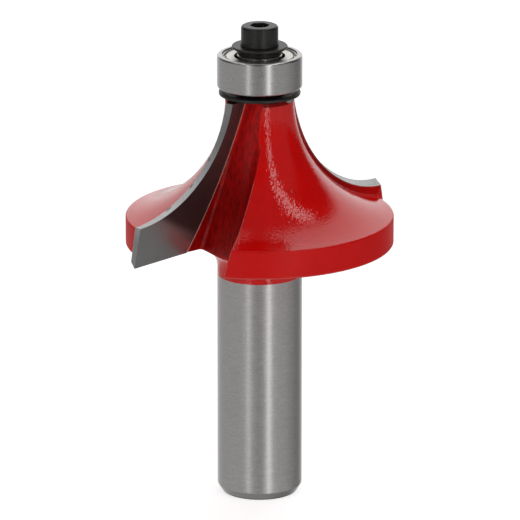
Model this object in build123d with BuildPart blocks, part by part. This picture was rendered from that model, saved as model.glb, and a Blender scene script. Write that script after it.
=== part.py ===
from build123d import *
import os
import math

os.makedirs("parts", exist_ok=True)

# Two-flute round-over router bit with a ball-bearing pilot. Millimetres, +Z up.
# The shank stands on its end face at z = 0, the axis is Z, the pilot bearing is on top.

# ---------------------------------------------------------------- driving dimensions
SHANK_R = 6.35            # 1/2 inch shank
SHANK_END_R = 5.58        # flat end face inside the end chamfer
SHANK_CHAMFER_Z = 1.21
NECK_FILLET = 3.0         # neck into the underside of the head
UNDER_Z_IN = 38.35        # underside of the head near the neck
UNDER_Z_RIM = 39.08       # underside of the head at the rim
UNDER_R_IN = 9.6
RIM_R = 20.05             # rim of the wings
RIM_EDGE = 0.30
COVE_R = 18.222           # cove of the wings, centre at (COVE_CR, COVE_CZ)
COVE_CR = 23.36
COVE_CZ = 61.216
THROAT_R = COVE_CR - COVE_R
SHOULDER_Z = 61.90        # shoulder the bearing stack is clamped on
SHOULDER_CHAMFER = 0.30

FACE_DIR = 227.2          # plan direction of the cutting face, degrees
SHEAR = 13.67             # lean of the cutting face, degrees
FACE_BACK = -2.372        # signed distance of the face from the axis at height 50
FACE_Z = 50.0
TIP_COVE_R = 15.875       # 5/8 inch round-over
TIP_CR = 22.225
TIP_CZ = 60.81
TIP_R_TOP = TIP_CR - TIP_COVE_R
TIP_TOP_Z = 61.55
TIP_BOTTOM_Z = 38.39
TIP_T = 1.85              # thickness of the carbide
RELIEF_COVE_R = 16.31     # the cove as ground at the back of the carbide
RELIEF_LAND_R = 21.62
TIP_IN_TOP = 3.55         # inner edge of the carbide, measured in the face
TIP_IN_MID = 5.95
TIP_IN_MID_Z = 50.0
TIP_IN_BOTTOM = 10.50
BRAZE_T = 0.10            # braze behind the carbide
BRAZE_EDGE = 0.19         # braze along its inner edge
RIB_T = 3.30              # steel rib behind the carbide, to its foot on the cove
RIB_BREAK = 2.38          # where its steep wall turns into the flare at its foot
RIB_BREAK_COVE_R = 18.222 # cove, centre and rim of the rib there
RIB_BREAK_CR = 23.24
RIB_BREAK_CZ = 61.39
RIB_BREAK_LAND_R = 20.15

FLOOR_TOP = 3.50          # gullet floor from the axis at height 61
FLOOR_SLOPE = 0.168
FLOOR_FILLET = 0.5
HEEL_N = (-0.9714, 0.1675, 0.1687)   # back face of the next wing
HEEL_D = 7.97
HEEL_FILLET = 3.0
HEEL_BEND_Z = 44.5        # below this height the back face leans further
HEEL_BEND = 0.10

SPIGOT_R = 2.371
SPIGOT_TOP_Z = 67.88
TAP_R = 1.50
TAP_BOTTOM_Z = 57.5

GUARD_R = 6.08            # guard washer under the bearing
GUARD_T = 0.50
GUARD_DISH = 0.14
GUARD_BOSS_R = 3.35
GUARD_HOLE_R = 2.42

BRG_R = 6.35              # 3/16 x 1/2 x 0.196 inch bearing
BRG_BORE_R = 2.381
BRG_W = 4.978
BRG_Z0 = 63.05
BRG_EDGE = 0.32
PITCH_R = 4.3655
BALL_R = 1.1905
RACE_R = 1.25
BALLS = 7
INNER_LAND_R = 3.55
INNER_END_R = 3.36
OUTER_LAND_R = 5.18
RECESS_R = 5.62
SNAP_GROOVE_R = 5.75
RECESS_FLOOR = 1.74       # from the middle plane
SHIELD_T = 0.18
SHIELD_IN_R = 3.80
SHIELD_OUT_R = 5.58
SNAP_WIRE_R = 0.185
SNAP_R = 5.54
SNAP_GAP = 34.0           # degrees
CAGE_IN_R = 3.84
CAGE_OUT_R = 4.92
CAGE_T = 0.22
POCKET_R = 1.225
POCKET_OUT_R = 1.44

WASHER_Z1 = 69.35
WASHER_R = 4.16
WASHER_FOOT_R = 3.30
SCREW_R = 1.48            # M3 thread, drawn at its crest
SCREW_END_Z = 60.4
HEAD_R = 2.775
HEAD_TOP_Z = 72.40
HEX_AF = 2.62
HEX_DEPTH = 1.55
HEX_TURN = 8.0

ZM = BRG_Z0 + BRG_W / 2   # middle plane of the bearing

# ---------------------------------------------------------------- the cutting-face frame
_fd = math.radians(FACE_DIR)
_sh = math.radians(SHEAR)
H = (math.cos(_fd), math.sin(_fd), 0.0)                      # outward, in the face
NH = (-math.sin(_fd), math.cos(_fd))                         # plan normal, towards the flute
N = (NH[0] * math.cos(_sh), NH[1] * math.cos(_sh), -math.sin(_sh))


def face_plane(back):
    """The plane lying `back` behind the cutting face: x outward, y up along the face."""
    p = (NH[0] * FACE_BACK - N[0] * back, NH[1] * FACE_BACK - N[1] * back, FACE_Z - N[2] * back)
    return Plane(origin=p, x_dir=H, z_dir=(-N[0], -N[1], -N[2]))


def in_face(r, z, back):
    """Face coordinates of the point at radius r and height z in the plane `back` behind the face."""
    v = (z - FACE_Z - math.sin(_sh) * back) / math.cos(_sh)
    a = FACE_BACK + math.sin(_sh) * v - math.cos(_sh) * back
    return (math.sqrt(max(r * r - a * a, 0.0)), v)


def cove_pts(cr, cz, cove_r, r_end, back, n=11):
    """Points down a cove arc, from its vertical tangent to radius r_end."""
    a1 = math.acos((cr - r_end) / cove_r)
    out = []
    for i in range(n):
        a = a1 * i / (n - 1)
        out.append(in_face(cr - cove_r * math.cos(a), cz - cove_r * math.sin(a), back))
    return out


def inner_edge(v_top, shift):
    """Inner edge of the carbide, one arc in the face: its point at height v_top, the middle and the bottom."""
    (ax, ay), (bx, by), (cx, cy) = [(x - shift, (z - FACE_Z) / math.cos(_sh)) for x, z in
                                    ((TIP_IN_TOP, TIP_TOP_Z), (TIP_IN_MID, TIP_IN_MID_Z), (TIP_IN_BOTTOM, TIP_BOTTOM_Z))]
    d = 2 * (ax * (by - cy) + bx * (cy - ay) + cx * (ay - by))
    ux = ((ax ** 2 + ay ** 2) * (by - cy) + (bx ** 2 + by ** 2) * (cy - ay) + (cx ** 2 + cy ** 2) * (ay - by)) / d
    uy = ((ax ** 2 + ay ** 2) * (cx - bx) + (bx ** 2 + by ** 2) * (ax - cx) + (cx ** 2 + cy ** 2) * (bx - ax)) / d
    rad = math.hypot(ax - ux, ay - uy)
    side = math.copysign(1.0, ax - ux)
    return (ux + side * math.sqrt(rad ** 2 - (v_top - uy) ** 2), v_top), (bx, by), (cx, cy)


V_TOP = (TIP_TOP_Z - FACE_Z) / math.cos(_sh)
V_LOW = (TIP_BOTTOM_Z - FACE_Z) / math.cos(_sh)


def tip_outline(back, cr, cz, cove_r, land_r, shift, v_top):
    """Corner points of a carbide section: top outer, arc, land bottom, and the inner edge."""
    arc = cove_pts(cr, cz, cove_r, land_r, back)
    z_land = cz - math.sqrt(cove_r ** 2 - (cr - land_r) ** 2) if cove_r > abs(cr - land_r) else cz - cove_r
    top_out = (arc[0][0], v_top)
    z_low = FACE_Z + V_LOW * math.cos(_sh) + math.sin(_sh) * back
    land_low = in_face(land_r, z_low, back)
    t, m, l = inner_edge(v_top, shift)
    return top_out, arc, land_low, t, m, l


# back of the carbide, extended a little for the braze layer
def relief_at(back):
    k = back / TIP_T
    return (TIP_COVE_R + (RELIEF_COVE_R - TIP_COVE_R) * k, TIP_CR + (RELIEF_LAND_R - TIP_CR) * k)


V_TOP_BACK = V_TOP - 0.78

SEAT = TIP_T + BRAZE_T


def beside_edge(shift):
    """Sketch lines round everything outward of the inner edge, in the face."""
    tin, mid, low = inner_edge(V_TOP, shift)
    Line((tin[0], V_TOP + 2.5), tin)
    ThreePointArc(tin, mid, low)
    Line(low, (low[0] + 1.2, V_LOW - 2.5))
    Line((low[0] + 1.2, V_LOW - 2.5), (27.0, V_LOW - 2.5))
    Line((27.0, V_LOW - 2.5), (27.0, V_TOP + 2.5))
    Line((27.0, V_TOP + 2.5), (tin[0], V_TOP + 2.5))


# ---------------------------------------------------------------- the seat milled for one carbide and its braze
with BuildPart() as seat:
    with BuildSketch(face_plane(-0.6)):
        with BuildLine():
            beside_edge(BRAZE_EDGE)
        make_face()
    extrude(amount=SEAT + 0.6)

# ---------------------------------------------------------------- carbide and braze as ground together, before they are parted
with BuildPart() as ground_tip:
    for back, vt in ((0.0, V_TOP), (SEAT, V_TOP_BACK - 0.02)):
        rc, rl = relief_at(back)
        top_out, arc, land_low, tin, mid, low = tip_outline(back, TIP_CR, TIP_CZ, rc, rl, 0.0, vt)
        with BuildSketch(face_plane(back)):
            with BuildLine():
                Line((tin[0] - 1.5, vt), top_out)
                Line(top_out, arc[0])
                Spline(*arc)
                Line(arc[-1], land_low)
                Line(land_low, (mid[0] - 1.5, V_LOW))
                Line((mid[0] - 1.5, V_LOW), (tin[0] - 1.5, vt))
            make_face()
    loft(ruled=True)
    with BuildSketch(face_plane(-0.6)):
        with BuildLine():
            beside_edge(BRAZE_EDGE)
        make_face()
    extrude(amount=SEAT + 1.2, mode=Mode.INTERSECT)

# ---------------------------------------------------------------- carbide tip
with BuildPart() as carbide_tip_1:
    add(ground_tip.part)
    with BuildSketch(face_plane(-0.6)):
        with BuildLine():
            beside_edge(0.0)
        make_face()
    extrude(amount=TIP_T + 0.6, mode=Mode.INTERSECT)
carbide_tip_1.part.label = "carbide_tip_1"

with BuildPart() as carbide_tip_2:
    add(carbide_tip_1.part.rotate(Axis.Z, 180))
carbide_tip_2.part.label = "carbide_tip_2"

# ---------------------------------------------------------------- braze layer behind and inside the carbide
with BuildPart() as braze_1:
    add(ground_tip.part)
    with BuildSketch(face_plane(-0.6)):
        with BuildLine():
            beside_edge(0.0)
        make_face()
    extrude(amount=TIP_T + 0.6, mode=Mode.SUBTRACT)
braze_1.part.label = "braze_1"

with BuildPart() as braze_2:
    add(braze_1.part.rotate(Axis.Z, 180))
braze_2.part.label = "braze_2"

# ---------------------------------------------------------------- steel rib behind one carbide
RIB_IN = 1.2
with BuildPart() as rib:
    for back in (SEAT, RIB_BREAK, RIB_T):
        if back < RIB_BREAK:
            rc, rl = relief_at(back)
            cr, cz, vt = TIP_CR, TIP_CZ, V_TOP_BACK - 0.02
        elif back < RIB_T:
            rc, rl, cr, cz, vt = RIB_BREAK_COVE_R, RIB_BREAK_LAND_R, RIB_BREAK_CR, RIB_BREAK_CZ, V_TOP_BACK + 0.07
        else:
            rc, rl, cr, cz, vt = COVE_R, RIM_R - 0.02, COVE_CR + 0.04, COVE_CZ, V_TOP_BACK - 0.30
        top_out, arc, land_low, tin, mid, low = tip_outline(back, cr, cz, rc, rl, 0.0, vt)
        if back >= RIB_T:
            land_low = in_face(RIM_R - 0.02, UNDER_Z_RIM + 0.17, back)
        low = (7.0, land_low[1])
        with BuildSketch(face_plane(back)):
            with BuildLine():
                Line((RIB_IN, vt), top_out)
                Line(top_out, arc[0])
                Spline(*arc)
                Line(arc[-1], land_low)
                Line(land_low, low)
                Line(low, (RIB_IN, vt))
            make_face()
    loft(ruled=True)

# ---------------------------------------------------------------- the volume milled away for one flute
def flute_section(z):
    """Corners of the flute at height z: face/floor, floor/heel, heel/outside, face/outside."""
    def meet(a, b):
        det = a[0] * b[1] - a[1] * b[0]
        return ((a[2] * b[1] - a[1] * b[2]) / det, (a[0] * b[2] - a[2] * b[0]) / det)
    fx = FACE_BACK + math.tan(_sh) * (z - FACE_Z)
    face = (NH[0], NH[1], fx)
    floor = (H[0], H[1], FLOOR_TOP + (61.0 - z) * FLOOR_SLOPE)
    heel = (HEEL_N[0], HEEL_N[1], HEEL_D - HEEL_N[2] * z)
    far = (H[0], H[1], 34.0)
    return meet(face, floor), meet(floor, heel), meet(heel, far), meet(face, far)


# steel left standing at the foot of the back face, where it leans further
with BuildPart() as heel_wedge:
    for z in (28.0, HEEL_BEND_Z):
        flat = math.hypot(HEEL_N[0], HEEL_N[1])
        mx, my = HEEL_N[0] / flat, HEEL_N[1] / flat
        near = (HEEL_D - HEEL_N[2] * z - 1.0) / flat
        far = (HEEL_D - HEEL_N[2] * z + HEEL_BEND * (HEEL_BEND_Z - z)) / flat
        with BuildSketch(Plane.XY.offset(z)):
            with BuildLine():
                Polyline((mx * near - my * 45, my * near + mx * 45), (mx * far - my * 45, my * far + mx * 45),
                         (mx * far + my * 45, my * far - mx * 45), (mx * near + my * 45, my * near - mx * 45), close=True)
            make_face()
    loft(ruled=True)

with BuildPart() as flute:
    for z in (28.0, 66.0):
        with BuildSketch(Plane.XY.offset(z)):
            with BuildLine():
                Polyline(*flute_section(z), close=True)
            make_face()
    loft(ruled=True)
    inner = flute.edges().filter_by(lambda e: abs((e @ 0).Z - (e @ 1).Z) > 30)
    inner = inner.sort_by(lambda e: abs(e @ 0.5 - Vector(0, 0, (e @ 0.5).Z)))
    corner_face = inner.filter_by(lambda e: (e @ 0.5).X * NH[0] + (e @ 0.5).Y * NH[1] < 1.0).sort_by(lambda e: (e @ 0.5).X ** 2 + (e @ 0.5).Y ** 2)[0]
    corner_heel = inner.filter_by(lambda e: (e @ 0.5).X * NH[0] + (e @ 0.5).Y * NH[1] >= 1.0).sort_by(lambda e: (e @ 0.5).X ** 2 + (e @ 0.5).Y ** 2)[0]
    fillet(corner_heel, HEEL_FILLET)
    corner_face = flute.edges().filter_by(lambda e: e.length > 30).filter_by(lambda e: (e @ 0.5 - corner_face @ 0.5).length < 0.5)
    fillet(corner_face, FLOOR_FILLET)
    add(heel_wedge.part, mode=Mode.SUBTRACT)

# ---------------------------------------------------------------- cutter body: head, shank and bearing seat in one piece
with BuildPart() as cutter_body:
    with BuildSketch(Plane.XZ):
        with BuildLine():
            cove_rim_z = COVE_CZ - math.sqrt(COVE_R ** 2 - (COVE_CR - RIM_R) ** 2)
            a_rim = math.acos((COVE_CR - RIM_R) / COVE_R)
            arc_mid = (COVE_CR - COVE_R * math.cos(a_rim / 2), COVE_CZ - COVE_R * math.sin(a_rim / 2))
            Line((0, 0), (SHANK_END_R, 0))
            Line((SHANK_END_R, 0), (SHANK_R, SHANK_CHAMFER_Z))
            Line((SHANK_R, SHANK_CHAMFER_Z), (SHANK_R, UNDER_Z_IN - NECK_FILLET))
            RadiusArc((SHANK_R, UNDER_Z_IN - NECK_FILLET), (SHANK_R + NECK_FILLET, UNDER_Z_IN), NECK_FILLET)
            Line((SHANK_R + NECK_FILLET, UNDER_Z_IN), (UNDER_R_IN, UNDER_Z_IN))
            Line((UNDER_R_IN, UNDER_Z_IN), (RIM_R, UNDER_Z_RIM))
            Line((RIM_R, UNDER_Z_RIM), (RIM_R, cove_rim_z))
            ThreePointArc((RIM_R, cove_rim_z), arc_mid, (THROAT_R, COVE_CZ))
            Line((THROAT_R, COVE_CZ), (THROAT_R, SHOULDER_Z - SHOULDER_CHAMFER))
            Line((THROAT_R, SHOULDER_Z - SHOULDER_CHAMFER), (THROAT_R - SHOULDER_CHAMFER, SHOULDER_Z))
            Line((THROAT_R - SHOULDER_CHAMFER, SHOULDER_Z), (SPIGOT_R, SHOULDER_Z))
            Line((SPIGOT_R, SHOULDER_Z), (SPIGOT_R, SPIGOT_TOP_Z - 0.2))
            Line((SPIGOT_R, SPIGOT_TOP_Z - 0.2), (SPIGOT_R - 0.2, SPIGOT_TOP_Z))
            Line((SPIGOT_R - 0.2, SPIGOT_TOP_Z), (0, SPIGOT_TOP_Z))
            Line((0, SPIGOT_TOP_Z), (0, 0))
        make_face()
    revolve(axis=Axis.Z)
    rims = cutter_body.edges().filter_by(GeomType.CIRCLE).filter_by(lambda e: abs(e.radius - RIM_R) < 1e-3)
    fillet(rims.sort_by(Axis.Z)[-1], RIM_EDGE)
    fillet(cutter_body.edges().filter_by(GeomType.CIRCLE).filter_by(lambda e: abs(e.radius - RIM_R) < 1e-3 and abs(e.center().Z - UNDER_Z_RIM) < 1e-3), 0.15)
    add(rib.part)
    add(rib.part.rotate(Axis.Z, 180))
    add(flute.part, mode=Mode.SUBTRACT)
    add(flute.part.rotate(Axis.Z, 180), mode=Mode.SUBTRACT)
    add(seat.part, mode=Mode.SUBTRACT)
    add(seat.part.rotate(Axis.Z, 180), mode=Mode.SUBTRACT)
    with BuildSketch(Plane.XY.offset(TAP_BOTTOM_Z)):
        Circle(TAP_R)
    extrude(amount=SPIGOT_TOP_Z - TAP_BOTTOM_Z, mode=Mode.SUBTRACT)
cutter_body.part.label = "cutter_body"

# ---------------------------------------------------------------- guard washer between shoulder and bearing
with BuildPart() as guard_washer:
    with BuildSketch(Plane.XZ):
        with BuildLine():
            Polyline((GUARD_HOLE_R, SHOULDER_Z), (GUARD_R, SHOULDER_Z), (GUARD_R, SHOULDER_Z + GUARD_T),
                     (GUARD_R - 0.75, SHOULDER_Z + GUARD_T), (GUARD_R - 1.15, SHOULDER_Z + GUARD_T - GUARD_DISH),
                     (GUARD_BOSS_R + 0.35, SHOULDER_Z + GUARD_T - GUARD_DISH), (GUARD_BOSS_R, BRG_Z0 - 0.1),
                     (GUARD_BOSS_R - 0.1, BRG_Z0), (GUARD_HOLE_R, BRG_Z0), close=True)
        make_face()
    revolve(axis=Axis.Z)
    fillet(guard_washer.edges().filter_by(GeomType.CIRCLE).filter_by(lambda e: abs(e.radius - GUARD_R) < 1e-3), 0.13)
guard_washer.part.label = "guard_washer"

# ---------------------------------------------------------------- pilot bearing
half = BRG_W / 2
with BuildPart() as bearing_outer_ring:
    with BuildSketch(Plane.XZ):
        with BuildLine():
            Polyline((OUTER_LAND_R, ZM - RECESS_FLOOR), (RECESS_R, ZM - RECESS_FLOOR),
                     (RECESS_R, ZM - RECESS_FLOOR - 0.19), (SNAP_GROOVE_R, ZM - RECESS_FLOOR - 0.19),
                     (SNAP_GROOVE_R, ZM - RECESS_FLOOR - 0.6), (RECESS_R, ZM - RECESS_FLOOR - 0.66),
                     (RECESS_R, ZM - half), (BRG_R, ZM - half), (BRG_R, ZM + half), (RECESS_R, ZM + half),
                     (RECESS_R, ZM + RECESS_FLOOR + 0.66), (SNAP_GROOVE_R, ZM + RECESS_FLOOR + 0.6),
                     (SNAP_GROOVE_R, ZM + RECESS_FLOOR + 0.19), (RECESS_R, ZM + RECESS_FLOOR + 0.19),
                     (RECESS_R, ZM + RECESS_FLOOR), (OUTER_LAND_R, ZM + RECESS_FLOOR), close=True)
        make_face()
        with Locations((PITCH_R, ZM)):
            Circle(RACE_R, mode=Mode.SUBTRACT)
    revolve(axis=Axis.Z)
    fillet(bearing_outer_ring.edges().filter_by(GeomType.CIRCLE).filter_by(lambda e: abs(e.radius - BRG_R) < 1e-3), BRG_EDGE)
bearing_outer_ring.part.label = "bearing_outer_ring"

with BuildPart() as bearing_inner_ring:
    with BuildSketch(Plane.XZ):
        with BuildLine():
            Polyline((BRG_BORE_R, ZM - half + 0.15), (BRG_BORE_R + 0.15, ZM - half), (INNER_END_R - 0.12, ZM - half),
                     (INNER_END_R, ZM - half + 0.12), (INNER_END_R, ZM - 1.62), (INNER_LAND_R, ZM - 1.5),
                     (INNER_LAND_R, ZM + 1.5), (INNER_END_R, ZM + 1.62), (INNER_END_R, ZM + half - 0.12),
                     (INNER_END_R - 0.12, ZM + half), (BRG_BORE_R + 0.15, ZM + half), (BRG_BORE_R, ZM + half - 0.15), close=True)
        make_face()
        with Locations((PITCH_R, ZM)):
            Circle(RACE_R, mode=Mode.SUBTRACT)
    revolve(axis=Axis.Z)
bearing_inner_ring.part.label = "bearing_inner_ring"

balls = []
for i in range(BALLS):
    a = math.radians(90 + 360.0 * i / BALLS)
    with BuildPart() as ball:
        with Locations((PITCH_R * math.cos(a), PITCH_R * math.sin(a), ZM)):
            Sphere(BALL_R)
    ball.part.label = "ball_%d" % (i + 1)
    balls.append(ball)

with BuildPart() as cage_pitch:
    half_pitch = math.radians(180.0 / BALLS)
    with BuildSketch(Plane.XY.offset(ZM)):
        with BuildLine():
            near = (CAGE_OUT_R * math.sin(half_pitch), CAGE_OUT_R * math.cos(half_pitch))
            far = (CAGE_IN_R * math.sin(half_pitch), CAGE_IN_R * math.cos(half_pitch))
            ThreePointArc(near, (0, CAGE_OUT_R), (-near[0], near[1]))
            Line((-near[0], near[1]), (-far[0], far[1]))
            ThreePointArc((-far[0], far[1]), (0, CAGE_IN_R), far)
            Line(far, near)
        make_face()
    extrude(amount=CAGE_T)
    with Locations((0, PITCH_R, ZM)):
        Sphere(POCKET_OUT_R)
    with BuildSketch(Plane.XY.offset(ZM)):
        Circle(CAGE_OUT_R)
        Circle(CAGE_IN_R, mode=Mode.SUBTRACT)
    extrude(amount=1.6, mode=Mode.INTERSECT)
    with Locations((0, PITCH_R, ZM)):
        Sphere(POCKET_R, mode=Mode.SUBTRACT)

with BuildPart() as cage_upper:
    for i in range(BALLS):
        add(cage_pitch.part.rotate(Axis.Z, 360.0 * i / BALLS))
cage_upper.part.label = "cage_upper"

with BuildPart() as cage_lower:
    add(cage_upper.part.mirror(Plane.XY.offset(ZM)))
cage_lower.part.label = "cage_lower"

with BuildPart() as shield_upper:
    with BuildSketch(Plane.XZ):
        with BuildLine():
            z0 = ZM + RECESS_FLOOR
            Polyline((SHIELD_OUT_R, z0), (SHIELD_OUT_R, z0 + SHIELD_T), (SHIELD_OUT_R - 0.42, z0 + SHIELD_T),
                     (SHIELD_OUT_R - 0.62, z0 + SHIELD_T + 0.30), (SHIELD_IN_R + 0.05, z0 + SHIELD_T + 0.30),
                     (SHIELD_IN_R, z0 + SHIELD_T + 0.25), (SHIELD_IN_R, z0 + 0.30),
                     (SHIELD_OUT_R - 0.74, z0 + 0.30), (SHIELD_OUT_R - 0.54, z0), close=True)
        make_face()
    revolve(axis=Axis.Z)
shield_upper.part.label = "shield_upper"

with BuildPart() as shield_lower:
    add(shield_upper.part.mirror(Plane.XY.offset(ZM)))
shield_lower.part.label = "shield_lower"

with BuildPart() as snap_ring_upper:
    with BuildSketch(Plane.XZ):
        with Locations((SNAP_R, ZM + RECESS_FLOOR + SHIELD_T + SNAP_WIRE_R)):
            Circle(SNAP_WIRE_R)
    revolve(axis=Axis.Z, revolution_arc=360.0 - SNAP_GAP)
snap_ring_upper.part.label = "snap_ring_upper"

with BuildPart() as snap_ring_lower:
    add(snap_ring_upper.part.mirror(Plane.XY.offset(ZM)).rotate(Axis.Z, 70))
snap_ring_lower.part.label = "snap_ring_lower"

# ---------------------------------------------------------------- screw and its washer
with BuildPart() as screw_washer:
    with BuildSketch(Plane.XZ):
        with BuildLine():
            zb = BRG_Z0 + BRG_W
            Polyline((SCREW_R + 0.12, zb), (WASHER_FOOT_R - 0.1, zb), (WASHER_FOOT_R, zb + 0.1), (WASHER_FOOT_R + 0.08, zb + 0.45),
                     (WASHER_R - 0.42, zb + 0.72), (WASHER_R - 0.06, WASHER_Z1 - 0.30), (WASHER_R, WASHER_Z1 - 0.22),
                     (WASHER_R, WASHER_Z1 - 0.10), (WASHER_R - 0.1, WASHER_Z1), (SCREW_R + 0.12, WASHER_Z1), close=True)
        make_face()
    revolve(axis=Axis.Z)
screw_washer.part.label = "screw_washer"

with BuildPart() as clamp_screw:
    with BuildSketch(Plane.XZ):
        with BuildLine():
            Polyline((0, SCREW_END_Z), (SCREW_R - 0.35, SCREW_END_Z), (SCREW_R, SCREW_END_Z + 0.35), (SCREW_R, WASHER_Z1),
                     (HEAD_R + 0.02, WASHER_Z1), (HEAD_R + 0.09, WASHER_Z1 + 0.10), (HEAD_R + 0.07, WASHER_Z1 + 0.34),
                     (HEAD_R, WASHER_Z1 + 0.44), (HEAD_R, HEAD_TOP_Z - 0.34), (HEAD_R - 0.10, HEAD_TOP_Z - 0.12),
                     (HEAD_R - 0.30, HEAD_TOP_Z), (0, HEAD_TOP_Z), close=True)
        make_face()
    revolve(axis=Axis.Z)
    with BuildSketch(Plane.XY.offset(HEAD_TOP_Z)):
        RegularPolygon(HEX_AF / 2, 6, major_radius=False, rotation=HEX_TURN)
    extrude(amount=-HEX_DEPTH, mode=Mode.SUBTRACT)
    with BuildSketch(Plane.XZ):
        with BuildLine():
            Polyline((0, HEAD_TOP_Z - HEX_DEPTH), (HEX_AF / 2 - 0.05, HEAD_TOP_Z - HEX_DEPTH),
                     (0, HEAD_TOP_Z - HEX_DEPTH - 0.35), close=True)
        make_face()
    revolve(axis=Axis.Z, mode=Mode.SUBTRACT)
    with BuildSketch(Plane.XZ):
        with BuildLine():
            Polyline((0, HEAD_TOP_Z + 0.01), (HEX_AF / 2 + 0.10, HEAD_TOP_Z + 0.01), (HEX_AF / 2 - 0.03, HEAD_TOP_Z - 0.10),
                     (0, HEAD_TOP_Z - 0.10), close=True)
        make_face()
    revolve(axis=Axis.Z, mode=Mode.SUBTRACT)
clamp_screw.part.label = "clamp_screw"

# ---------------------------------------------------------------- files
nodes = [cutter_body, carbide_tip_1, carbide_tip_2, braze_1, braze_2, guard_washer,
         bearing_outer_ring, bearing_inner_ring, cage_upper, cage_lower, shield_upper, shield_lower,
         snap_ring_upper, snap_ring_lower, screw_washer, clamp_screw] + balls
for p in nodes:
    print(p.part.label, round(p.part.volume, 2), len(p.part.solids()))
export_step(cutter_body.part, "parts/cutter_body.step")
export_step(carbide_tip_1.part, "parts/carbide_tip_1.step")
export_step(carbide_tip_2.part, "parts/carbide_tip_2.step")
export_step(braze_1.part, "parts/braze_1.step")
export_step(braze_2.part, "parts/braze_2.step")
export_step(guard_washer.part, "parts/guard_washer.step")
export_step(bearing_outer_ring.part, "parts/bearing_outer_ring.step")
export_step(bearing_inner_ring.part, "parts/bearing_inner_ring.step")
export_step(cage_upper.part, "parts/cage_upper.step")
export_step(cage_lower.part, "parts/cage_lower.step")
export_step(shield_upper.part, "parts/shield_upper.step")
export_step(shield_lower.part, "parts/shield_lower.step")
export_step(snap_ring_upper.part, "parts/snap_ring_upper.step")
export_step(snap_ring_lower.part, "parts/snap_ring_lower.step")
export_step(screw_washer.part, "parts/screw_washer.step")
export_step(clamp_screw.part, "parts/clamp_screw.step")
for ball in balls:
    export_step(ball.part, "parts/%s.step" % ball.part.label)
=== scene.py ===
import bpy
import math
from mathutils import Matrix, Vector

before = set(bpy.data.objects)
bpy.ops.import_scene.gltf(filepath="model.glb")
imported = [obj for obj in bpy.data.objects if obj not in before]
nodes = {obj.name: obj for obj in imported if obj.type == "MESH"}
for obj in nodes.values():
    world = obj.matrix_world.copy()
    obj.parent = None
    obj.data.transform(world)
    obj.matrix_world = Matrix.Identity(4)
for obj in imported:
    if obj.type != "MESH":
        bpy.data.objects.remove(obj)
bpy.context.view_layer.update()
scene = bpy.context.scene

# ------------------------------------------------------------------ the cutting-face frame, as in the CAD, millimetres
_fd, _sh = math.radians(227.2), math.radians(13.67)
HDIR = (math.cos(_fd), math.sin(_fd), 0.0)
NH = (-math.sin(_fd), math.cos(_fd))
NF = (NH[0] * math.cos(_sh), NH[1] * math.cos(_sh), -math.sin(_sh))     # out of cutting face 1
FACE_D = NH[0] * NH[0] * -2.372 * math.cos(_sh) + NH[1] * NH[1] * -2.372 * math.cos(_sh) - math.sin(_sh) * 50.0
HEEL_N, HEEL_D = (-0.9714, 0.1675, 0.1687), 7.97


def edge_circle():
    """Centre and radius, in face coordinates (outward, up the face), of the inner edge of the carbide."""
    (ax, ay), (bx, by), (cx, cy) = [(u, (v - 50.0) / math.cos(_sh)) for u, v in ((3.55, 61.55), (5.95, 50.0), (10.50, 38.39))]
    d = 2 * (ax * (by - cy) + bx * (cy - ay) + cx * (ay - by))
    ux = ((ax ** 2 + ay ** 2) * (by - cy) + (bx ** 2 + by ** 2) * (cy - ay) + (cx ** 2 + cy ** 2) * (ay - by)) / d
    uy = ((ax ** 2 + ay ** 2) * (cx - bx) + (bx ** 2 + by ** 2) * (ax - cx) + (cx ** 2 + cy ** 2) * (bx - ax)) / d
    return ux, uy, math.hypot(ax - ux, ay - uy)


EDGE_U, EDGE_V, EDGE_RAD = edge_circle()


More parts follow.
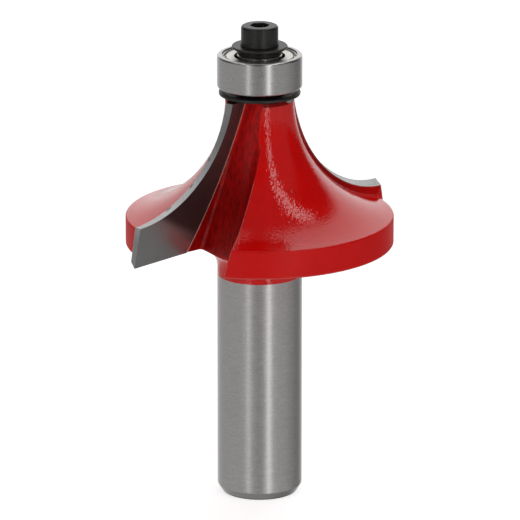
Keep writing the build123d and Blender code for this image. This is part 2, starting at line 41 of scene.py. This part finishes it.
# ------------------------------------------------------------------ a small builder for shader maths
class Net:
    """Adds nodes to one node tree and joins them, so that a mask reads as a formula."""

    def __init__(self, tree):
        self.t = tree
        self.n = 0

    def node(self, kind, **props):
        nd = self.t.nodes.new(kind)
        nd.location = (-220 * (self.n % 12), -170 * (self.n // 12))
        self.n += 1
        for k, v in props.items():
            setattr(nd, k, v)
        return nd

    def put(self, sock, v):
        if isinstance(v, bpy.types.NodeSocket):
            self.t.links.new(v, sock)
        else:
            sock.default_value = v

    def math(self, op, a, b=0.0, c=0.0, clamp=False):
        nd = self.node("ShaderNodeMath", operation=op, use_clamp=clamp)
        self.put(nd.inputs[0], a)
        self.put(nd.inputs[1], b)
        self.put(nd.inputs[2], c)
        return nd.outputs[0]

    def add(self, a, b): return self.math("ADD", a, b)
    def sub(self, a, b): return self.math("SUBTRACT", a, b)
    def mul(self, a, b): return self.math("MULTIPLY", a, b)
    def div(self, a, b): return self.math("DIVIDE", a, b)
    def mn(self, a, b): return self.math("MINIMUM", a, b)
    def mx(self, a, b): return self.math("MAXIMUM", a, b)
    def absv(self, a): return self.math("ABSOLUTE", a)

    def step(self, v, a, b, smooth=True):
        """0 where v is at a, 1 where it is at b; a may be above b."""
        nd = self.node("ShaderNodeMapRange", interpolation_type="SMOOTHSTEP" if smooth else "LINEAR", clamp=True)
        if a <= b:
            lo_, hi_, t0, t1 = a, b, 0.0, 1.0
        else:
            lo_, hi_, t0, t1 = b, a, 1.0, 0.0
        self.put(nd.inputs[0], v)
        nd.inputs[1].default_value, nd.inputs[2].default_value = lo_, hi_
        nd.inputs[3].default_value, nd.inputs[4].default_value = t0, t1
        return nd.outputs[0]

    def lerp(self, f, a, b):
        """a + f (b - a) for numbers."""
        nd = self.node("ShaderNodeMix", data_type="FLOAT")
        self.put(nd.inputs[0], f)
        self.put(nd.inputs[2], a)
        self.put(nd.inputs[3], b)
        return nd.outputs[0]

    def mix(self, f, a, b, how="MIX"):
        nd = self.node("ShaderNodeMix", data_type="RGBA", blend_type=how)
        self.put(nd.inputs[0], f)
        for i, v in ((6, a), (7, b)):
            self.put(nd.inputs[i], v if isinstance(v, bpy.types.NodeSocket) else (*v, 1.0))
        return nd.outputs[2]

    def vmath(self, op, a, b=(0, 0, 0), scale=1.0):
        nd = self.node("ShaderNodeVectorMath", operation=op)
        self.put(nd.inputs[0], a)
        self.put(nd.inputs[1], b)
        self.put(nd.inputs[3], scale)
        return nd.outputs["Value"] if op in ("DOT_PRODUCT", "LENGTH", "DISTANCE") else nd.outputs["Vector"]

    def dot(self, v, c): return self.vmath("DOT_PRODUCT", v, c)

    def sep(self, v):
        nd = self.node("ShaderNodeSeparateXYZ")
        self.put(nd.inputs[0], v)
        return nd.outputs[0], nd.outputs[1], nd.outputs[2]

    def comb(self, x, y, z):
        nd = self.node("ShaderNodeCombineXYZ")
        for s, v in zip(nd.inputs, (x, y, z)):
            self.put(s, v)
        return nd.outputs[0]

    def noise(self, vec, scale, detail=2.0, rough=0.5, distortion=0.0):
        nd = self.node("ShaderNodeTexNoise")
        self.put(nd.inputs["Vector"], vec)
        nd.inputs["Scale"].default_value = scale
        nd.inputs["Detail"].default_value = detail
        nd.inputs["Roughness"].default_value = rough
        nd.inputs["Distortion"].default_value = distortion
        return nd.outputs["Fac"]

    def voronoi(self, vec, scale, feature="F1"):
        nd = self.node("ShaderNodeTexVoronoi", feature=feature)
        self.put(nd.inputs["Vector"], vec)
        nd.inputs["Scale"].default_value = scale
        return nd.outputs["Distance"]

    def bump(self, height, dist_mm, strength=1.0, normal=None):
        nd = self.node("ShaderNodeBump")
        nd.inputs["Strength"].default_value = strength
        nd.inputs["Distance"].default_value = dist_mm * 0.001
        self.put(nd.inputs["Height"], height)
        if normal is not None:
            self.put(nd.inputs["Normal"], normal)
        return nd.outputs[0]

    def mm(self):
        """Place on the object in millimetres, in the row frame."""
        tc = self.node("ShaderNodeTexCoord")
        return self.vmath("SCALE", tc.outputs["Object"], scale=1000.0)

    def rounded(self, radius_mm):
        nd = self.node("ShaderNodeBevel", samples=6)
        nd.inputs["Radius"].default_value = radius_mm * 0.001
        return nd.outputs[0]

    def facing_way(self):
        """The surface normal in the object's own space."""
        tc = self.node("ShaderNodeTexCoord")
        return tc.outputs["Normal"]

    def bsdf(self, **v):
        nd = self.node("ShaderNodeBsdfPrincipled")
        for k, x in v.items():
            s = nd.inputs[k.replace("_", " ")]
            self.put(s, (*x, 1.0) if isinstance(x, tuple) and s.type == "RGBA" else x)
        return nd


def material(name):
    m = bpy.data.materials.new(name)
    m.use_nodes = True
    m.node_tree.nodes.clear()
    g = Net(m.node_tree)
    out = g.node("ShaderNodeOutputMaterial")
    return m, g, out


def radial_tangent(g):
    t = g.node("ShaderNodeTangent", direction_type="RADIAL", axis="Z")
    return t.outputs[0]


def turned_lines(g, p, per_mm, along=0.03):
    """Fine marks that run round the axis: noise that hardly changes round it and changes fast along it."""
    x, y, z = g.sep(p)
    r = g.vmath("LENGTH", g.comb(x, y, 0.0))
    return g.noise(g.comb(g.mul(x, along), g.mul(y, along), g.mul(g.add(z, g.mul(r, 0.37)), per_mm)), 1.0, 3.0, 0.65)


# ------------------------------------------------------------------ ground steel of the shank and bearing
def steel_parts(g, p, base, rough, lines_mm, seed=0.0):
    """Colour, roughness and normal of circumferentially ground steel."""
    x, y, z = g.sep(p)
    pz = g.comb(x, y, g.add(z, seed))
    fine = turned_lines(g, pz, lines_mm, 0.70)
    coarse = turned_lines(g, pz, lines_mm * 0.22, 0.35)
    grit = g.noise(pz, 4.5, 2.0, 0.6)
    cloud = g.noise(pz, 0.33, 2.0, 0.5)
    tone = g.add(g.mul(fine, 0.38), g.add(g.mul(coarse, 0.16), g.add(g.mul(grit, 0.36), g.mul(cloud, 0.10))))
    col = g.mix(g.step(tone, 0.34, 0.66), tuple(c * 0.82 for c in base), tuple(min(c * 1.13, 1.0) for c in base))
    rg = g.add(rough - 0.05, g.mul(g.step(tone, 0.3, 0.7), 0.10))
    h = g.add(g.mul(fine, 0.6), g.add(g.mul(coarse, 0.25), g.mul(grit, 0.25)))
    return col, rg, h


def make_steel(name, base=(0.63, 0.615, 0.60), rough=0.27, lines=9.0, edge=0.06, aniso=0.65, depth=0.0022):
    m, g, out = material(name)
    p = g.mm()
    col, rg, h = steel_parts(g, p, base, rough, lines)
    nrm = g.bump(h, depth, 1.0, g.rounded(edge))
    b = g.bsdf(Base_Color=col, Metallic=1.0, Roughness=rg, Anisotropic=aniso, Normal=nrm)
    b.inputs["Anisotropic Rotation"].default_value = 0.25
    g.put(b.inputs["Tangent"], radial_tangent(g))
    g.put(out.inputs[0], b.outputs[0])
    return m


# ------------------------------------------------------------------ cutter body: red coating, bare shank, bare edges
def make_body():
    m, g, out = material("coated_steel")
    p = g.mm()
    x, y, z = g.sep(p)
    n = g.facing_way()
    # bare steel
    col_s, rg_s, h_s = steel_parts(g, p, (0.59, 0.576, 0.566), 0.355, 13.0)
    # the end chamfer is left as cut, darker than the ground wall
    col_s = g.vmath("SCALE", col_s, scale=g.lerp(g.step(z, 1.24, 1.12), 1.0, g.lerp(g.step(z, 0.35, 0.10), 0.66, 0.42)))
    steel = g.bsdf(Base_Color=col_s, Metallic=1.0, Roughness=rg_s, Anisotropic=0.5,
                   Normal=g.bump(h_s, 0.0010, 1.0, g.rounded(0.08)))
    steel.inputs["Anisotropic Rotation"].default_value = 0.25
    g.put(steel.inputs["Tangent"], radial_tangent(g))
    # red coating
    flutes = []
    for s in (1.0, -1.0):
        in_face = g.sub(g.dot(p, (NF[0] * s, NF[1] * s, NF[2])), FACE_D)
        in_floor = g.sub(g.dot(p, (HDIR[0] * s, HDIR[1] * s, 0.0)), g.add(3.5, g.mul(g.sub(61.0, z), 0.168)))
        in_heel = g.sub(g.sub(g.dot(p, (HEEL_N[0] * s, HEEL_N[1] * s, HEEL_N[2])), HEEL_D), g.mul(g.mx(g.sub(44.5, z), 0.0), 0.10))
        flutes.append(g.step(g.mn(in_face, g.mn(in_floor, in_heel)), -0.07, -0.02))
    flute = g.mul(g.mx(*flutes), g.step(z, 37.0, 38.5))
    peel = g.noise(p, 3.5, 0.0, 0.5)
    peel_fine = g.noise(g.vmath("ADD", p, (3.1, 7.7, 1.3)), 2.4, 0.0, 0.5)
    drawn = g.noise(g.comb(g.mul(x, 2.2), g.mul(y, 2.2), g.mul(z, 0.7)), 1.0, 2.0, 0.5)
    peel = g.lerp(flute, peel, g.add(g.mul(peel, 0.6), g.mul(drawn, 1.6)))
    turned = turned_lines(g, p, 4.0, 0.06)
    cloud = g.noise(p, 0.18, 3.0, 0.6)
    h = g.add(g.mul(peel, 1.0), g.add(g.mul(peel_fine, 0.35), g.mul(turned, 0.02)))
    radius = g.vmath("LENGTH", g.comb(x, y, 0.0))
    rim = g.mul(g.step(radius, 19.88, 19.96), g.step(z, 44.0, 43.4))
    smooth = g.mx(*[g.step(g.add(g.mul(x, 0.9 * s), g.mul(y, -0.25 * s)), -10.0, -14.5) for s in (1.0, -1.0)])
    h = g.mul(h, g.lerp(rim, g.lerp(smooth, 1.0, 0.30), 0.12))
    nr = g.bump(h, 0.029, 1.0, g.rounded(0.12))
    red = g.mix(g.step(cloud, 0.3, 0.7), (0.88, 0.0020, 0.0014), (0.93, 0.0030, 0.0022))
    speck = g.step(g.noise(p, 9.0, 2.0, 0.6), 0.66, 0.74)
    red = g.mix(g.mul(speck, 0.30), red, (0.60, 0.0015, 0.0012))
    # painted shade: the paint in the flutes is darkened, more towards the bottom, and streaked lighter and darker by
    # milling marks under the coating
    flute_shade_and_marks = g.lerp(g.step(z, 60.0, 46.0), 0.78, 0.46)
    flute_shade_and_marks = g.mul(flute_shade_and_marks, g.lerp(g.step(drawn, 0.36, 0.64), 0.74, 1.16))
    red = g.mix(flute, red, g.vmath("SCALE", red, scale=flute_shade_and_marks))
    # painted shade: the back wall of the carbide's seat is darkened, more towards the top, and the throat under the
    # washer gets a painted shadow band
    seat_wall_shades = []
    for s in (1.0, -1.0):
        nfs = (NF[0] * s, NF[1] * s, NF[2])
        behind_face = g.sub(FACE_D, g.dot(p, nfs))
        seat_wall_shades.append(g.mul(g.step(g.dot(n, nfs), -0.25, -0.45), g.mul(g.step(behind_face, 1.4, 1.7), g.step(behind_face, 4.6, 4.2))))
    off_cove = g.vmath("LENGTH", g.comb(g.sub(radius, 23.36), g.sub(z, 61.216), 0.0))
    seat_wall_shade = g.mul(g.mx(*seat_wall_shades), g.mul(g.step(z, 37.5, 38.5), g.step(off_cove, 18.19, 18.08)))
    red = g.mix(seat_wall_shade, red, g.vmath("SCALE", red, scale=g.lerp(g.step(z, 43.0, 47.0), 0.85, 0.45)))
    # painted shadow of the washer: a dark band round the throat just under it, with less coat there
    washer_shadow = g.mul(g.step(g.add(z, g.mul(g.sub(cloud, 0.5), 0.2)), 60.98, 61.12), g.sub(1.0, flute))
    red = g.mix(washer_shadow, red, g.vmath("SCALE", red, scale=0.30))
    paint = g.bsdf(Base_Color=red, Metallic=0.0, Roughness=g.add(0.42, g.mul(peel, 0.1)), Normal=nr)
    paint.inputs["IOR"].default_value = 1.45
    paint.inputs["Specular IOR Level"].default_value = 0.0
    rim_coat = g.lerp(rim, 1.0, 0.5)
    g.put(paint.inputs["Coat Weight"], g.mul(g.mul(g.sub(1.0, g.mul(washer_shadow, 0.8)), g.lerp(flute, 1.0, 0.62)), rim_coat))
    g.put(paint.inputs["Coat Roughness"], g.lerp(rim, g.lerp(flute, g.add(0.026, g.mul(cloud, 0.01)), 0.26), 0.40))
    paint.inputs["Coat IOR"].default_value = 1.5
    g.put(paint.inputs["Coat Normal"], nr)
    # thin, worn coating on the sharp edges: warm, pale; also the colour of the painted highlight along the lower rim
    pale_wear_and_highlight = g.bsdf(Base_Color=g.mix(g.noise(p, 2.0, 2.0), (0.70, 0.30, 0.25), (0.60, 0.20, 0.16)), Metallic=0.35, Roughness=0.35, Normal=g.rounded(0.12))
    # where the coating ends on the shank, a little uneven
    wob = g.sub(g.noise(g.comb(x, y, 0.0), 1.3, 3.0, 0.6), 0.5)
    line = g.step(g.add(z, g.mul(wob, 0.10)), 34.03, 34.10)
    r = g.vmath("LENGTH", g.comb(x, y, 0.0))
    spigot = g.math("MULTIPLY", g.step(r, 2.75, 2.55), g.step(z, 61.8, 61.88))
    coat = g.mul(line, g.sub(1.0, spigot))
    # ground sliver at the shoulder on the camera's right, and its twin
    slivers = []
    for s in (1.0, -1.0):
        a = g.div(g.sub(g.math("ARCTAN2", g.mul(y, s), g.mul(x, s)), math.radians(-27.0)), math.radians(17.0))
        depth = g.mul(g.sub(1.0, g.mul(a, a)), 0.78)
        slivers.append(g.mul(g.step(g.sub(z, g.sub(61.88, depth)), -0.03, 0.03), g.step(depth, 0.0, 0.02)))
    coat = g.mul(coat, g.sub(1.0, g.mul(g.mx(*slivers), g.step(r, 7.5, 6.5))))
    crowns = [g.step(g.dot(p, (HDIR[0] * s, HDIR[1] * s, 0.0)), 5.05, 5.25) for s in (1.0, -1.0)]
    coat = g.mul(coat, g.sub(1.0, g.mul(g.mx(*crowns), g.step(z, 60.85, 61.0))))
    # worn line along the two heel edges, on the cove and rim side of them
    lines = []
    for s in (1.0, -1.0):
        hn = (HEEL_N[0] * s, HEEL_N[1] * s, HEEL_N[2])
        d = g.absv(g.sub(g.sub(g.dot(p, hn), HEEL_D), g.mul(g.mx(g.sub(44.5, z), 0.0), 0.10)))
        not_heel = g.step(g.dot(n, hn), 0.96, 0.90)
        d = g.add(d, g.mul(g.sub(g.noise(p, 3.0, 2.0), 0.5), 0.05))
        lines.append(g.mul(g.mul(g.step(d, 0.085, 0.035), not_heel), g.step(g.mul(y, s), -2.0, -2.5)))
    edge = g.mul(g.mx(*lines), g.mul(g.step(z, 56.0, 50.0), g.step(r, 8.0, 9.0)))
    edge = g.mul(edge, g.step(g.noise(p, 1.4, 2.0), 0.28, 0.5))
    # the lower rim of the wings: a pale line, partly thinly covered coating and partly a painted highlight
    hem_wear_and_highlight = g.mul(g.step(g.absv(g.sub(z, 39.16)), 0.16, 0.04), g.step(r, 19.75, 19.95))
    edge = g.mx(edge, g.mul(hem_wear_and_highlight, 0.40))
    # braze washed out on the face of the steel beside the carbide
    washes = []
    for s in (1.0, -1.0):
        on_face = g.step(g.absv(g.sub(g.dot(p, (NF[0] * s, NF[1] * s, NF[2])), FACE_D)), 0.06, 0.03)
        a = g.dot(p, (HDIR[0] * s, HDIR[1] * s, 0.0))
        v = g.div(g.sub(z, 50.0), math.cos(_sh))
        off = g.sub(g.absv(g.vmath("LENGTH", g.comb(g.sub(a, EDGE_U), g.sub(v, EDGE_V), 0.0))), EDGE_RAD)
        ragged = g.mul(g.sub(g.noise(p, 3.5, 2.0), 0.5), 0.10)
        washes.append(g.mul(on_face, g.step(g.add(g.absv(off), ragged), 0.27, 0.23)))
    edge = g.mx(edge, g.mul(g.mul(g.mx(*washes), g.step(z, 38.0, 38.4)), 0.85))
    s1 = g.node("ShaderNodeMixShader")
    g.put(s1.inputs[0], edge)
    g.put(s1.inputs[1], paint.outputs[0])
    g.put(s1.inputs[2], pale_wear_and_highlight.outputs[0])
    s2 = g.node("ShaderNodeMixShader")
    g.put(s2.inputs[0], coat)
    g.put(s2.inputs[1], steel.outputs[0])
    g.put(s2.inputs[2], s1.outputs[0])
    g.put(out.inputs[0], s2.outputs[0])
    return m


# ------------------------------------------------------------------ carbide: lapped face, ground relief
def make_carbide(name, s):
    m, g, out = material(name)
    p = g.mm()
    n = g.facing_way()
    nf = (NF[0] * s, NF[1] * s, NF[2])
    back = g.sub(FACE_D, g.dot(p, nf))                 # distance behind the cutting face
    face = g.step(g.dot(n, nf), 0.90, 0.97)
    x, y, z = g.sep(p)
    out_v = g.dot(p, (HDIR[0] * s, HDIR[1] * s, 0.0))
    # the lapped face: nearly a mirror with hair lines across it
    hair = g.noise(g.comb(g.mul(out_v, 0.25), g.mul(z, 9.0), back), 1.0, 3.0, 0.6)
    grain = g.noise(p, 14.0, 2.0, 0.6)
    # the relief: grinding marks that follow the cove, square to the edge
    rad = g.vmath("LENGTH", g.comb(x, y, 0.0))
    arc = g.mul(g.math("ARCTAN2", g.sub(60.81, z), g.sub(22.225, rad)), 15.9)
    marks = g.noise(g.comb(g.mul(g.add(arc, g.mul(back, 0.7)), 5.5), g.mul(back, 0.5), 3.0), 1.0, 3.0, 0.65)
    along = g.noise(g.comb(g.mul(arc, 0.35), g.mul(back, 2.5), 9.0), 1.0, 3.0, 0.6)
    tone = g.add(g.mul(marks, 0.70), g.mul(along, 0.30))
    col_r = g.mix(g.step(tone, 0.3, 0.7), (0.23, 0.233, 0.237), (0.37, 0.373, 0.376))
    # painted light and shade: the relief is made lighter at mid height and darker towards the bottom
    col_r = g.vmath("SCALE", col_r, scale=g.lerp(g.step(z, 60.0, 54.0), 1.08, g.lerp(g.step(z, 45.5, 42.0), 1.28, 0.70)))
    col_f = g.mix(g.step(g.add(g.mul(hair, 0.6), g.mul(grain, 0.4)), 0.3, 0.7), (0.31, 0.31, 0.307), (0.35, 0.35, 0.346))
    # painted reflection: above a slanting line the face is darkened, most just above the line, in place of the dark
    # flute it mirrors; below the line it is darkened near the inner edge too
    q = g.sub(g.sub(z, 41.5), g.mul(g.sub(out_v, 9.72), 0.52))
    painted_face_reflection = g.lerp(g.step(q, 2.0, 14.0), 0.36, 0.58)
    col_f = g.vmath("SCALE", col_f, scale=g.mul(g.lerp(g.step(q, -0.8, 0.8), 1.0, painted_face_reflection), g.lerp(g.mul(g.step(out_v, 10.6, 8.6), g.step(q, 0.8, -0.8)), 1.0, 0.55)))
    # small voids in the braze show as dark dashes along the back edge of the relief
    pits = [g.step(g.absv(g.sub(z, zv)), 0.30, 0.16) for zv in (52.61, 48.89, 46.09)]
    pit = g.mul(g.mul(g.mx(pits[0], g.mx(pits[1], pits[2])), g.step(back, 1.40, 1.54)), g.sub(1.0, face))
    if s > 0:
        col_r = g.mix(pit, col_r, (0.012, 0.010, 0.010))
    col = g.mix(face, col_r, col_f)
    rough = g.lerp(face, g.add(0.30, g.mul(tone, 0.14)), g.add(0.25, g.mul(hair, 0.03)))
    height = g.lerp(face, g.mul(tone, 1.0), g.mul(g.add(g.mul(hair, 0.5), g.mul(grain, 0.5)), 0.03))
    nrm = g.bump(height, 0.0035, 1.0, g.rounded(0.05))
    b = g.bsdf(Base_Color=col, Metallic=g.lerp(face, 1.0, 0.80), Roughness=rough, Normal=nrm)
    g.put(out.inputs[0], b.outputs[0])
    return m


def make_braze():
    m, g, out = material("braze_alloy")
    p = g.mm()
    lump = g.noise(p, 3.0, 3.0, 0.6)
    stain = g.noise(p, 1.1, 3.0, 0.6)
    col = g.mix(g.step(stain, 0.35, 0.65), (0.85, 0.50, 0.44), (0.90, 0.66, 0.55))
    col = g.mix(g.mul(g.step(lump, 0.62, 0.80), 0.6), col, (0.50, 0.05, 0.03))
    b = g.bsdf(Base_Color=col, Metallic=0.35, Roughness=g.add(0.30, g.mul(lump, 0.2)),
               Normal=g.bump(lump, 0.03, 1.0, g.rounded(0.04)))
    g.put(out.inputs[0], b.outputs[0])
    return m


def make_oxide(name, base=0.020, rough=0.36, turn=0.35):
    m, g, out = material(name)
    p = g.mm()
    grit = g.noise(p, 6.0, 3.0, 0.65)
    pit = g.voronoi(p, 5.0)
    cloud = g.noise(p, 0.9, 3.0, 0.6)
    lines = turned_lines(g, p, 6.0, 0.05)
    # painted light: pale flecks only on faces that look up, lightening the tops
    up = g.step(g.sep(g.facing_way())[2], 0.6, 0.9)
    tone = g.add(g.mul(grit, 0.5), g.add(g.mul(cloud, 0.3), g.mul(lines, 0.2)))
    col = g.mix(g.step(tone, 0.32, 0.68), (base * 0.72, base * 0.68, base * 0.65), (base * 1.75, base * 1.62, base * 1.52))
    top_sheen_fleck = g.mul(g.step(grit, 0.60, 0.72), up)
    col = g.mix(g.mul(top_sheen_fleck, 0.55), col, (0.19, 0.175, 0.16))
    # the black rubs thin on the edges, and the edges are painted lighter as a highlight as well
    flat = g.node("ShaderNodeNewGeometry").outputs["Normal"]
    rubbed_and_highlit_edges = g.step(g.add(g.vmath("DOT_PRODUCT", g.rounded(0.10), flat), g.mul(g.sub(grit, 0.5), 0.06)), 0.985, 0.90)
    col = g.mix(g.mul(rubbed_and_highlit_edges, 0.7), col, (0.17, 0.155, 0.14))
    h = g.add(g.mul(grit, 0.7), g.add(g.mul(lines, turn), g.mul(g.step(pit, 0.0, 0.35), 0.25)))
    b = g.bsdf(Base_Color=col, Metallic=0.25, Roughness=g.add(rough, g.mul(g.sub(tone, 0.5), 0.25)),
               Normal=g.bump(h, 0.010, 1.0, g.rounded(0.09)))
    g.put(out.inputs[0], b.outputs[0])
    return m


def make_shield():
    m, g, out = material("shield_steel_satin")
    p = g.mm()
    grit = g.noise(p, 7.0, 3.0, 0.65)
    cloud = g.noise(p, 1.2, 2.0, 0.5)
    lines = turned_lines(g, p, 7.0, 0.04)
    tone = g.add(g.mul(grit, 0.4), g.add(g.mul(cloud, 0.3), g.mul(lines, 0.3)))
    col = g.mix(g.step(tone, 0.3, 0.7), (0.60, 0.585, 0.54), (0.78, 0.765, 0.715))
    b = g.bsdf(Base_Color=col, Metallic=1.0, Roughness=g.add(0.30, g.mul(grit, 0.12)),
               Normal=g.bump(g.add(grit, g.mul(lines, 0.5)), 0.005, 1.0, g.rounded(0.06)))
    g.put(out.inputs[0], b.outputs[0])
    return m


def make_ball():
    m, g, out = material("ball_steel_polished")
    p = g.mm()
    swirl = g.noise(p, 8.0, 2.0, 0.5, 1.5)
    col = g.mix(g.step(swirl, 0.3, 0.7), (0.70, 0.70, 0.71), (0.80, 0.80, 0.81))
    b = g.bsdf(Base_Color=col, Metallic=1.0, Roughness=g.add(0.05, g.mul(swirl, 0.05)),
               Normal=g.bump(swirl, 0.0004))
    g.put(out.inputs[0], b.outputs[0])
    return m


body_mat = make_body()
carbide_mats = [make_carbide("carbide_ground_1", 1.0), make_carbide("carbide_ground_2", -1.0)]
braze_mat = make_braze()
oxide_screw = make_oxide("black_oxide_screw")
oxide_washer = make_oxide("black_oxide_washer", 0.024, 0.38, 0.6)
bearing_mat = make_steel("bearing_steel_ground", (0.525, 0.513, 0.505), 0.30, 16.0, 0.05, 0.5, 0.0006)
shield_mat = make_shield()
wire_mat = make_steel("drawn_wire", (0.50, 0.49, 0.47), 0.30, 6.0, 0.02, 0.0, 0.003)
cage_mat = make_steel("stamped_cage", (0.55, 0.54, 0.51), 0.36, 4.0, 0.03, 0.0, 0.004)
ball_mat = make_ball()

given = {"cutter_body": body_mat, "carbide_tip_1": carbide_mats[0], "carbide_tip_2": carbide_mats[1],
         "braze_1": braze_mat, "braze_2": braze_mat, "guard_washer": oxide_washer, "screw_washer": oxide_washer,
         "clamp_screw": oxide_screw, "bearing_outer_ring": bearing_mat, "bearing_inner_ring": bearing_mat,
         "shield_upper": shield_mat, "shield_lower": shield_mat, "snap_ring_upper": wire_mat,
         "snap_ring_lower": wire_mat, "cage_upper": cage_mat, "cage_lower": cage_mat}
for name, o in nodes.items():
    mat = given.get(name, ball_mat)
    o.data.materials.clear()
    o.data.materials.append(mat)

# ------------------------------------------------------------------ floor
bpy.ops.mesh.primitive_plane_add(size=60.0, location=(0, 0, -0.00002))
floor = bpy.context.object
floor.name = "floor"
m, g, out = material("pale_floor")
p = g.mm()
mott = g.noise(p, 0.02, 2.0, 0.5)
fb = g.bsdf(Base_Color=g.mix(mott, (0.80, 0.80, 0.80), (0.82, 0.82, 0.82)), Roughness=0.9)
fb.inputs["Specular IOR Level"].default_value = 0.0
fb.inputs["Emission Color"].default_value = (1, 1, 1, 1)
fb.inputs["Emission Strength"].default_value = 0.70
g.put(out.inputs[0], fb.outputs[0])
floor.data.materials.append(m)
floor.visible_glossy = False
floor.visible_diffuse = False
floor.visible_shadow = False

# ------------------------------------------------------------------ soft studio light: a pale surround with two long strip lights
world = bpy.data.worlds.new("studio")
scene.world = world
world.use_nodes = True
world.node_tree.nodes.clear()
g = Net(world.node_tree)
wo = g.node("ShaderNodeOutputWorld")
tc = g.node("ShaderNodeTexCoord")
d = g.vmath("NORMALIZE", tc.outputs["Generated"])
x, y, z = g.sep(d)
ax = g.absv(x)
# upper part: front panels, dark sides
az = g.math("ARCTAN2", x, g.mul(y, -1.0))
front = g.lerp(g.step(g.absv(az), math.radians(10), math.radians(30)), 0.08, 0.20)
side = g.step(g.absv(az), math.radians(86), math.radians(94))
upper = g.lerp(side, front, 0.04)
upper = g.lerp(g.step(z, 0.80, 0.93), upper, 0.14)
# lower part: the table
low = g.lerp(g.step(g.absv(az), math.radians(9), math.radians(20)), 0.35, 0.47)
low = g.lerp(g.mul(g.step(az, math.radians(70), math.radians(95)), g.step(az, math.radians(135), math.radians(120))), low, 0.36)
low = g.lerp(g.mul(g.step(az, math.radians(98), math.radians(114)), g.step(az, math.radians(150), math.radians(138))), low, 0.25)
low = g.lerp(g.mx(g.step(az, math.radians(142), math.radians(164)), g.step(az, math.radians(-136), math.radians(-160))), low, 0.80)
amb = g.lerp(g.step(z, -0.06, 0.02), low, upper)
# backdrop behind the object, up to high
yy = g.mx(y, 0.001)
behind = g.mul(g.step(g.div(ax, yy), 0.90, 0.62), g.mul(g.step(g.div(z, yy), 2.9, 1.7), g.step(z, -0.08, 0.0)))
amb = g.lerp(behind, amb, 1.08)
# two strips that run from the floor in front, over the top, to the back
hyp = g.math("SQRT", g.mx(g.sub(1.0, g.mul(x, x)), 0.0001))
ratio = g.div(x, hyp)
run = g.mx(g.step(y, 0.42, 0.30), 0.0)
top_ok = g.step(z, -0.45, -0.30)
right = g.mul(g.step(g.absv(g.sub(ratio, 0.45)), 0.085, 0.055), g.mul(run, top_ok))
left = g.mul(g.step(g.absv(g.add(ratio, 0.56)), 0.075, 0.045), g.mul(run, top_ok))
lum = g.add(amb, g.mul(g.add(g.mul(right, 3.3), g.mul(left, 2.0)), g.lerp(g.step(z, -0.22, -0.08), 0.76, 1.0)))
bg = g.node("ShaderNodeBackground")
g.put(bg.inputs[0], g.mix(1.0, (1, 1, 1), g.comb(lum, lum, lum), "MULTIPLY"))
bg.inputs[1].default_value = 1.0
g.put(wo.inputs[0], bg.outputs[0])

# ------------------------------------------------------------------ camera
cam = bpy.data.cameras.new("camera")
cam_o = bpy.data.objects.new("camera", cam)
scene.collection.objects.link(cam_o)
scene.camera = cam_o
cam.sensor_width = 36.0
cam.lens = 439.1
cam.shift_x = 0.0007
cam.clip_start, cam.clip_end = 0.05, 200.0
cam_o.location = (0.0, -0.9094, 0.3108)
look = Vector((0.0, 0.0, 0.036053)) - Vector(cam_o.location)
cam_o.rotation_mode = "QUATERNION"
cam_o.rotation_quaternion = look.to_track_quat("-Z", "Y")

scene.view_settings.view_transform = "Standard"
scene.view_settings.look = "None"
scene.view_settings.exposure = 0.0
scene.view_settings.gamma = 1.0
